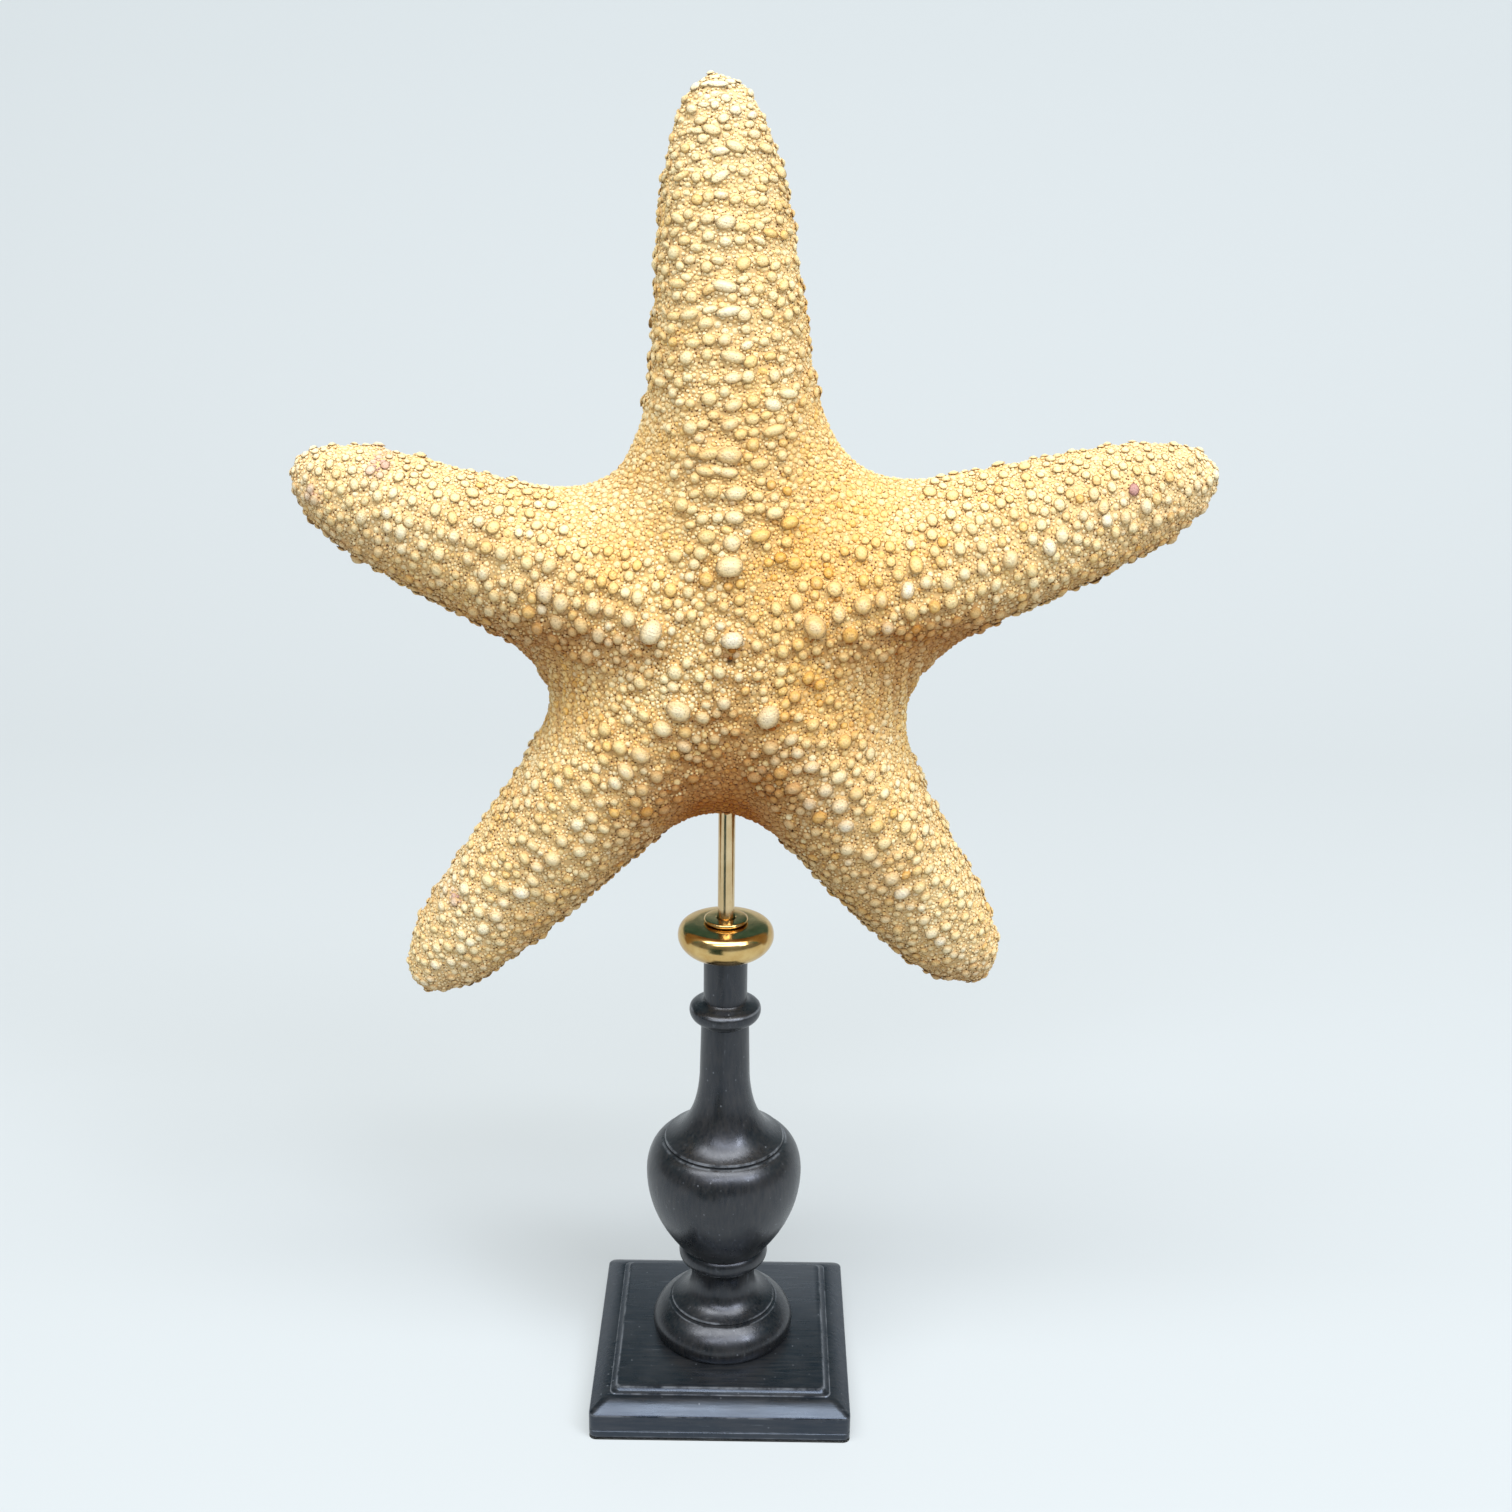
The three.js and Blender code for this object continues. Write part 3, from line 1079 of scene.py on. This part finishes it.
def dried_skin():
    """Dried skin between the tubercles: brown in the deep pores, matt and gritty."""
    material, node = new_material("Dried skin, sun bleached")
    place = node("ShaderNodeTexCoord").outputs["Object"]
    bleached, behind, grime, pit = (
        node("ShaderNodeAttribute", attribute_name=name).outputs["Fac"]
        for name in ("bleached", "behind", "grime", "pit")
    )
    blotches = node("ShaderNodeTexNoise", {"Vector": place, "Scale": 1 / (9 * MM), "Detail": 3})
    front, flat_side = (
        node("ShaderNodeValToRGB", [blotches], ((0.3, dark), (0.7, light)))
        for dark, light in (
            (chosen("skin_dark"), chosen("skin_light")),
            (linear("b48a52"), linear("cda771")),
        )
    )
    outer = node("ShaderNodeMath", (bleached, 0.6), operation="MULTIPLY")
    grit = node("ShaderNodeTexVoronoi", {"Vector": place, "Scale": 1 / (0.95 * MM)})
    pores = node("ShaderNodeValToRGB", [grit], ((0.2, linear("6e4419")), (0.36, WHITE)))
    colour = front
    for factor, over, how in (
        (outer, chosen("skin_bleached"), MIXED),
        (behind, flat_side, MIXED),
        # painted shade darkens the undersides and the furrow troughs
        (grime, chosen("grime"), DARKENED),
        (1.0, pores, DARKENED),
        # painted shade: the pit of the vent is painted nearly black
        (pit, linear("1d120b"), MIXED),
    ):
        colour = node("ShaderNodeMix", {"Factor": factor, "A": colour, "B": over}, **how)
    bump = node("ShaderNodeBump", {"Height": grit, "Strength": 0.7, "Distance": 0.3 * MM})
    shader = node(
        "ShaderNodeBsdfPrincipled",
        {"Base Color": colour, "Roughness": 0.9, "IOR": 1.45, "Normal": bump},
    )
    node("ShaderNodeOutputMaterial", [shader])
    return material


def tubercle_material():
    """Chalky calcite: tan at the foot with painted shade there, cream to ochre above, pitted and
    worn white.
    """
    material, node = new_material("Calcite tubercles, dried")
    place = node("ShaderNodeTexCoord").outputs["Object"]
    rise, ochre, worn, grime, stain, crevice = (
        node("ShaderNodeAttribute", attribute_name=name).outputs["Fac"]
        for name in ("rise", *TONES_OF_TUBERCLES)
    )
    mottle = node(
        "ShaderNodeTexNoise",
        {"Vector": place, "Scale": 1 / (0.8 * MM), "Detail": 4, "Roughness": 0.75},
    )
    grit = node("ShaderNodeTexVoronoi", {"Vector": place, "Scale": 1 / (0.7 * MM)})
    body = node(
        "ShaderNodeValToRGB",
        [ochre],
        (
            (0.0, chosen("tubercle_pale")),
            (0.4, chosen("tubercle_cream")),
            (0.75, chosen("tubercle_gold")),
            (1.0, chosen("tubercle_ochre")),
        ),
    )
    skirt = node(
        "ShaderNodeValToRGB", [ochre], ((0.0, linear("e0c184")), (1.0, linear("d59e4a")))
    )
    # a tubercle grows out of the tan skin, and its top is rubbed paler than its sides
    above = node("ShaderNodeMath", (rise, 0.25), operation="SUBTRACT", use_clamp=True)
    ragged = node(
        "ShaderNodeMath", (mottle, 0.5, above), operation="MULTIPLY_ADD", use_clamp=True
    )
    grown = node("ShaderNodeValToRGB", [ragged], ((0.15, BLACK), (0.6, WHITE)))
    crown = node("ShaderNodeValToRGB", [rise], ((0.55, BLACK), (1.0, WHITE)))
    top = node("ShaderNodeMath", (crown, 0.2), operation="MULTIPLY", use_clamp=True)
    broken = node(
        "ShaderNodeMath", (crown, 0.7, mottle), operation="MULTIPLY_ADD", use_clamp=True
    )
    white = node("ShaderNodeMath", (worn, broken), operation="MULTIPLY", use_clamp=True)
    # painted shade: the lower sides of each tubercle, next to the skin, are darkened
    foot = node(
        "ShaderNodeValToRGB",
        [rise],
        ((0.0, linear("b07e42")), (0.2, linear("e2bd83")), (0.4, WHITE)),
    )
    pits = node("ShaderNodeValToRGB", [grit], ((0.16, linear("9a6c36")), (0.34, WHITE)))
    colour = skirt
    for factor, over, how in (
        (grown, body, MIXED),
        (top, linear("fbf1c9"), MIXED),
        (white, chosen("worn"), MIXED),
        (stain, linear("a9687c"), MIXED),
        # painted shade at the foot of each tubercle
        (crevice, foot, DARKENED),
        (0.4, pits, DARKENED),
        # painted shade darkens the undersides and the furrow troughs
        (grime, chosen("grime"), DARKENED),
    ):
        colour = node("ShaderNodeMix", {"Factor": factor, "A": colour, "B": over}, **how)
    gritty = node("ShaderNodeMath", (grit, 0.5), operation="MULTIPLY", use_clamp=True)
    rough = node(
        "ShaderNodeMath", (mottle, 0.7, gritty), operation="MULTIPLY_ADD", use_clamp=True
    )
    bump = node("ShaderNodeBump", {"Height": rough, "Strength": 0.9, "Distance": 0.45 * MM})
    shader = node(
        "ShaderNodeBsdfPrincipled",
        {"Base Color": colour, "Roughness": 0.9, "IOR": 1.4, "Normal": bump},
    )
    node("ShaderNodeOutputMaterial", [shader])
    return material


def ebonised_wood(name, grain_way, tint):
    """Beech, stained blue-black and waxed.

    The long grain and the tool marks break its satin shine, the arrises are rubbed
    grey, and fine scuffs and specks of dust show that it's old.
    """
    material, node = new_material(name)
    place = node("ShaderNodeTexCoord").outputs["Object"]
    along = node("ShaderNodeMapping", {"Vector": place, "Scale": grain_way})
    grain = node("ShaderNodeTexNoise", {"Vector": along, "Scale": 1 / (0.9 * MM), "Detail": 6})
    stain = node(
        "ShaderNodeTexNoise",
        {"Vector": place, "Scale": 1 / (14 * MM), "Detail": 4, "Roughness": 0.6},
    )
    uneven = node("ShaderNodeMath", (stain, 0.4), operation="MULTIPLY")
    depth = node("ShaderNodeMath", (grain, 0.6, uneven), operation="MULTIPLY_ADD")
    wood = node(
        "ShaderNodeValToRGB", [depth], ((0.38, chosen("wood_black")), (0.7, chosen("wood_brown")))
    )
    # a film of dust lies on the upward faces, with a painted sheen: they are painted lighter
    # grey-blue
    facing = node("ShaderNodeSeparateXYZ", [node("ShaderNodeNewGeometry").outputs["Normal"]])
    up = facing.outputs["Z"]
    level = node("ShaderNodeMath", (up, up), operation="MULTIPLY")
    patchy = node("ShaderNodeMath", (level, stain), operation="MULTIPLY")
    dust_and_sheen_film = node("ShaderNodeMath", (patchy, 0.1), operation="MULTIPLY")
    # rubbed arrises, scuffs along the grain and specks of dust show in patches
    rubs = node(
        "ShaderNodeTexNoise",
        {"Vector": along, "Scale": 1 / (2.2 * MM), "Detail": 8, "Roughness": 0.75},
    )
    touched = node(
        "ShaderNodeTexNoise",
        {"Vector": place, "Scale": 1 / (7 * MM), "Detail": 4, "Roughness": 0.7},
    )
    patch = node("ShaderNodeValToRGB", [touched], ((0.42, BLACK), (0.6, WHITE)))
    wear = node("ShaderNodeAttribute", attribute_name="wear").outputs["Fac"]
    arris = node("ShaderNodeMath", (wear, patch), operation="MULTIPLY")
    scuff = node("ShaderNodeValToRGB", [rubs], ((0.61, BLACK), (0.72, WHITE)))
    dots = node("ShaderNodeTexVoronoi", {"Vector": place, "Scale": 1 / (3.1 * MM)})
    speck = node("ShaderNodeValToRGB", [dots], ((0.05, WHITE), (0.11, BLACK)))
    specks = node("ShaderNodeMath", (speck, patch), operation="MULTIPLY")
    rubbed = 0.0
    for mark, strength in ((arris, 0.5), (scuff, 0.3), (specks, 0.5)):
        rubbed = node("ShaderNodeMath", (mark, strength, rubbed), operation="MULTIPLY_ADD")
    colour = wood
    # dust and painted sheen on the upward faces, then the rubbed wear
    for factor, over in ((dust_and_sheen_film, chosen("dust_and_sheen")), (rubbed, chosen("wood_rubbed"))):
        colour = node("ShaderNodeMix", {"Factor": factor, "A": colour, "B": over}, **MIXED)
    waxed = node("ShaderNodeMath", (rubs, 0.6, uneven), operation="MULTIPLY_ADD")
    shine = node(
        "ShaderNodeMapRange",
        {"Value": waxed, "From Min": 0.35, "From Max": 0.7, "To Min": 0.22, "To Max": 0.42},
    )
    bump = node("ShaderNodeBump", {"Height": grain, "Strength": 0.28, "Distance": 0.12 * MM})
    shader = node(
        "ShaderNodeBsdfPrincipled",
        {
            "Base Color": colour,
            "Roughness": shine,
            "IOR": 1.7,
            "Specular Tint": tint,
            "Normal": bump,
        },
    )
    node("ShaderNodeOutputMaterial", [shader])
    return material


def polished_brass(name, dull, bright):
    """Brass, turned or drawn and polished: gold with fine rings and a faint tarnish."""
    material, node = new_material(name)
    place = node("ShaderNodeTexCoord").outputs["Object"]
    tarnish = node(
        "ShaderNodeTexNoise",
        {"Vector": place, "Scale": 1 / (5 * MM), "Detail": 5, "Roughness": 0.65},
    )
    colour = node("ShaderNodeValToRGB", [tarnish], ((0.35, chosen(dull)), (0.65, chosen(bright))))
    rings = node("ShaderNodeMapping", {"Vector": place, "Scale": (0.02, 0.02, 1)})
    lathe = node("ShaderNodeTexNoise", {"Vector": rings, "Scale": 1 / (0.25 * MM), "Detail": 3})
    shine = node(
        "ShaderNodeMapRange",
        {"Value": tarnish, "From Min": 0.3, "From Max": 0.7, "To Min": 0.13, "To Max": 0.24},
    )
    bump = node("ShaderNodeBump", {"Height": lathe, "Strength": 0.1, "Distance": 0.02 * MM})
    shader = node(
        "ShaderNodeBsdfPrincipled",
        {"Base Color": colour, "Metallic": 1.0, "Roughness": shine, "Normal": bump},
    )
    node("ShaderNodeOutputMaterial", [shader])
    return material


# ---- Stage --------------------------------------------------------------------

# Where the lamps point, and the camera's place in millimetres and its angles
LAMPS_AIM = Vector((0, 0, 0.2))
CAMERA_SPOT = Vector((8.25, -485.36, 378.07))
CAMERA_PITCH = math.radians(19.27)
CAMERA_ROLL = math.radians(0.816)


def sheet(name, start, end, steps, material, smooth=True):
    """A sheet of the stage, drawn out by steps from the edge between two corners."""
    bm = bmesh.new()
    edges = [bm.edges.new([bm.verts.new(start), bm.verts.new(end)])]
    for step in steps:
        edges, _ = drawn_out(bm, edges, step)
    bmesh.ops.recalc_face_normals(bm, faces=bm.faces)
    piece = object_from(bm, name, material, smooth)
    return piece


class STAGE_OT_studio(bpy.types.Operator):
    """Set the pale floor, the soft lights and the camera"""

    bl_idname = "stage.studio"
    bl_label = "Studio"

    def execute(self, context):
        scene = context.scene
        bends = [math.radians(7.5 * step) for step in range(13)]
        steps = [(0, 2.8, 0)] + [
            (0, 0.5 * (math.sin(b) - math.sin(a)), 0.5 * (math.cos(a) - math.cos(b)))
            for a, b in zip(bends, bends[1:])
        ]
        steps.append((0, 0, 0.1))
        sheet("studio_sweep", (-2.5, -2.2, 0), (2.5, -2.2, 0), steps, backdrop_paper())
        # the dark green room round the paper, which the brass reflects
        steps = ((0, 1.8, 0), (3.4, 0, 0), (0, -1.8, 0))
        low, high = (-1.7, -0.5, 0.55), (-1.7, -0.5, 5.5)
        room = sheet("studio_room", low, high, steps, green_wall(), smooth=False)
        room.visible_camera = room.visible_diffuse = False
        # a dark card beside the lens, seen only as a dark line down the brass
        bm = bmesh.new()
        bmesh.ops.create_grid(bm, x_segments=1, y_segments=1, size=0.1)
        bmesh.ops.rotate(bm, matrix=Matrix.Rotation(math.pi / 2, 3, "X"), verts=bm.verts)
        bmesh.ops.translate(bm, vec=(-0.13, -0.3, 0.1), verts=bm.verts)
        card = object_from(bm, "studio_card", green_wall())
        card.visible_camera = card.visible_diffuse = card.visible_shadow = False

        for name, place, size, power, colour in (
            ("overhead", (0, -0.6, 2.1), (3.0, 0.7), 60, "faf9f7"),
            ("front_high", (0.3, -1.35, 1.75), (2.6, 0.45), 31, "f4f6ff"),
            ("right_high", (1.4, -1.2, 1.6), (0.5, 0.5), 9, "eef4ff"),
        ):
            light = bpy.data.lights.new(name, "AREA")
            light.shape = "RECTANGLE"
            light.size, light.size_y = size
            light.energy = power
            light.color = linear(colour)[:3]
            holder = bpy.data.objects.new(name, light)
            holder.location = place
            away = Vector(place) - LAMPS_AIM
            holder.rotation_euler = away.to_track_quat("Z", "Y").to_euler()
            scene.collection.objects.link(holder)
        world = bpy.data.worlds.new("Pale room")
        scene.world = world
        world.use_nodes = True
        background = world.node_tree.nodes["Background"].inputs
        background["Color"].default_value = linear("e6edf2")
        background["Strength"].default_value = 0.25
        set_camera(scene)
        # plain colours, as the eye would compare them on a bench
        scene.view_settings.view_transform = "Standard"
        return {"FINISHED"}


def set_camera(scene):
    """Sets the camera in front of the piece, looking down at it and slightly rolled."""
    camera = bpy.data.cameras.new("camera")
    camera.sensor_width = 36
    camera.lens = 42.4
    camera.clip_start = 0.01
    viewer = bpy.data.objects.new("camera", camera)
    scene.collection.objects.link(viewer)
    forward = Vector((0, math.cos(CAMERA_PITCH), -math.sin(CAMERA_PITCH)))
    right = Vector((1, 0, 0))
    up = right.cross(forward)
    tilted = math.cos(CAMERA_ROLL) * right + math.sin(CAMERA_ROLL) * up
    upright = -math.sin(CAMERA_ROLL) * right + math.cos(CAMERA_ROLL) * up
    turn = Matrix((tilted, upright, -forward)).transposed().to_4x4()
    viewer.matrix_world = Matrix.Translation(CAMERA_SPOT * MM) @ turn
    scene.camera = viewer


def backdrop_paper():
    """Pale blue-grey paper, matt, and lit from behind so that shadows stay faint."""
    material, node = new_material("Backdrop paper")
    shader = node(
        "ShaderNodeBsdfPrincipled",
        {
            "Base Color": chosen("paper"),
            "Roughness": 0.95,
            "Emission Color": linear("e5ebeb"),
            "Emission Strength": 0.42,
        },
    )
    node("ShaderNodeOutputMaterial", [shader])
    return material


def green_wall():
    """Dark green painted wall, seen only in reflections."""
    name = "Painted wall"
    if name in bpy.data.materials:
        return bpy.data.materials[name]
    material, node = new_material(name)
    shader = node("ShaderNodeBsdfPrincipled", {"Base Color": linear("25545b"), "Roughness": 0.8})
    node("ShaderNodeOutputMaterial", [shader])
    return material


# ---- Settings, panel and registration -----------------------------------------


def length_setting(name, description, default):
    return FloatProperty(name=name, description=description, default=default, unit="LENGTH")


def share_setting(name, description, default):
    return FloatProperty(name=name, description=description, default=default, subtype="FACTOR")


def colour_setting(name, description, code):
    return FloatVectorProperty(
        name=name,
        description=description,
        default=linear(code),
        size=4,
        min=0,
        max=1,
        subtype="COLOR",
    )


class MountedStarfishSettings(bpy.types.PropertyGroup):
    """Sizes and colours that a user may change"""

    skin_mesh: length_setting("Skin mesh", "Spacing of the skin's mesh", 1.0 * MM)
    skin_inset: length_setting(
        "Skin inset", "How far the skin lies under the tops of the tubercles", 1.0 * MM
    )
    tip_filling: length_setting(
        "Tip filling", "How far the arms' tips are filled out after smoothing", 1.5 * MM
    )
    furrow_depth: length_setting(
        "Furrow depth", "Depth of the furrows between rows of plates", 0.7 * MM
    )
    groove_width: length_setting(
        "Groove width", "Width of the food grooves on the flat side", 6.5 * MM
    )
    groove_depth: length_setting(
        "Groove depth", "Depth of the food grooves on the flat side", 4.5 * MM
    )
    mouth_depth: length_setting(
        "Mouth depth", "Depth of the mouth where the grooves meet", 6.5 * MM
    )
    plinth_corner: length_setting(
        "Plinth corner", "Radius of the plinth's upright corners", 2.2 * MM
    )
    mound_height: share_setting(
        "Mound height", "Height of the mound under a tubercle, as a share of its radius", 0.78
    )
    mound_reach: share_setting(
        "Mound reach", "Reach of the mound under a tubercle, as a share of its radius", 2.0
    )
    crown: share_setting("Crown", "Bare crown of a tubercle, as a share of its radius", 0.8)
    seed: IntProperty(name="Seed", description="Chooses where the tubercles fall", default=7)
    skin_light: colour_setting("Skin, light", "Dried skin between the tubercles", "e0b977")
    skin_dark: colour_setting("Skin, dark", "Dried skin in its darker blotches", "cb9d59")
    skin_bleached: colour_setting("Skin, bleached", "Dried skin towards the tips", "ecd3a0")
    tubercle_pale: colour_setting("Tubercles, pale", "The palest tubercles", "f0dcaa")
    tubercle_cream: colour_setting("Tubercles, cream", "Most of the tubercles", "ebca86")
    tubercle_gold: colour_setting("Tubercles, golden", "The more golden tubercles", "ebbc62")
    tubercle_ochre: colour_setting(
        "Tubercles, ochre", "The few tubercles that keep their ochre", "e4a745"
    )
    worn: colour_setting("Worn tops", "Tubercles that are worn white", "f6ecd0")
    # painted shade on the undersides and in the furrow troughs
    grime: colour_setting("Painted shade", "Painted shade on the undersides and in the furrow troughs", "b37c36")
    wood_black: colour_setting("Wood, black", "Ebonised wood where the stain is dense", "0c0f12")
    wood_brown: colour_setting("Wood, brown", "Ebonised wood where the stain is thin", "2a2826")
    wood_rubbed: colour_setting(
        "Rubbed arrises", "Arrises and scuffs that are rubbed grey", "8b9096"
    )
    # dust and painted sheen on the upward faces
    dust_and_sheen: colour_setting("Dust and sheen", "Film of dust and painted sheen on the upward faces", "4a545e")
    brass_dull: colour_setting("Brass, dull", "Cap and washer where they are tarnished", "c39c5c")
    brass_bright: colour_setting(
        "Brass, bright", "Cap and washer where they are polished", "d9ba7d"
    )
    rod_dull: colour_setting("Rod, dull", "Rod where it is tarnished", "cbb083")
    rod_bright: colour_setting("Rod, bright", "Rod where it is polished", "dcc49a")
    paper: colour_setting("Backdrop", "Paper behind and below the piece", "969c9f")


class STARFISH_PT_panel(bpy.types.Panel):
    """Lists the sizes, the colours and the pieces"""

    bl_label = "Mounted starfish"
    bl_idname = "STARFISH_PT_panel"
    bl_space_type = "VIEW_3D"
    bl_region_type = "UI"
    bl_category = "Starfish"

    def draw(self, context):
        for name in MountedStarfishSettings.__annotations__:
            self.layout.prop(context.scene.mounted_starfish, name)
        for operator in OPERATORS:
            self.layout.operator(operator.bl_idname)


OPERATORS = (
    STAGE_OT_studio,
    STAND_OT_plinth,
    STAND_OT_column,
    STAND_OT_brass,
    STARFISH_OT_skin,
    STARFISH_OT_tubercles,
)
CLASSES = (MountedStarfishSettings, *OPERATORS, STARFISH_PT_panel)


def register():
    for cls in CLASSES:
        bpy.utils.register_class(cls)
    bpy.types.Scene.mounted_starfish = PointerProperty(type=MountedStarfishSettings)


def unregister():
    del bpy.types.Scene.mounted_starfish
    for cls in reversed(CLASSES):
        bpy.utils.unregister_class(cls)


def main():
    register()
    bpy.ops.stage.studio()
    bpy.ops.stand.plinth()
    bpy.ops.stand.column()
    bpy.ops.stand.brass()
    bpy.ops.starfish.skin()
    bpy.ops.starfish.tubercles()


if __name__ == "__main__":
    main()
